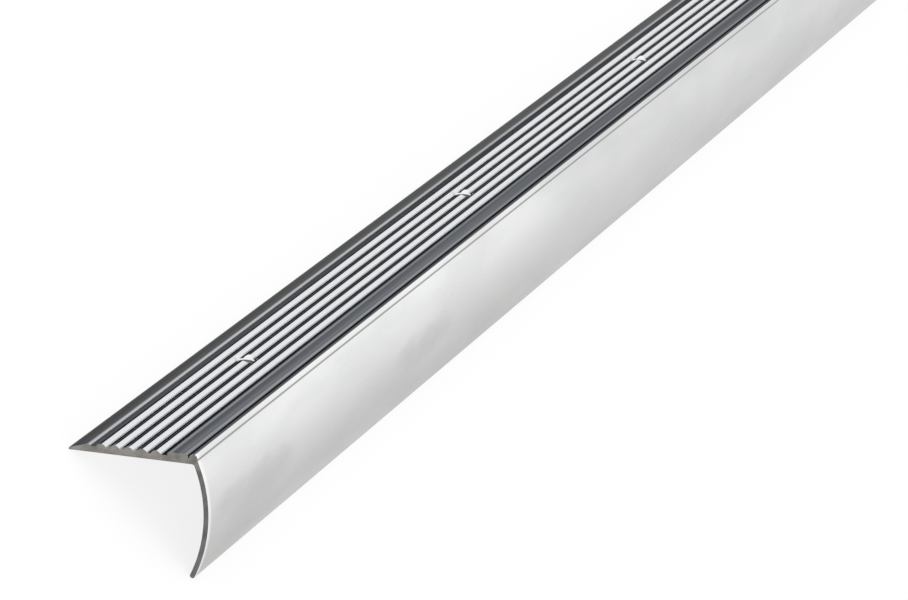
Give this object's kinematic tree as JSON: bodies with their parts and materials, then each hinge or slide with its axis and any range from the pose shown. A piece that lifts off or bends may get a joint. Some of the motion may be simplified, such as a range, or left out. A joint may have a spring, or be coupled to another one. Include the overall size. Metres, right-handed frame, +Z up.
{
  "type": "stair nosing",
  "caption": "Fluted aluminium stair nosing: a flat ribbed flange with countersunk nail holes, a rounded nose bead and a thin curved apron that covers the front edge of a stair tread.",
  "frame": {"origin": "middle of the length, on the floor that the strip lies on, half-way between its back edge and its lip", "axes": "+Y along the length; +Z up from the floor, with the nose at the top; +X across, from the flange's side to the apron's side"},
  "size_m": [0.0346, 0.9144, 0.0184],
  "materials": {
    "aluminium": "satin extruded, with fine lines along the length"
  },
  "bodies": {
    "root": {"nosing": "aluminium"}
  },
  "joints": []
}
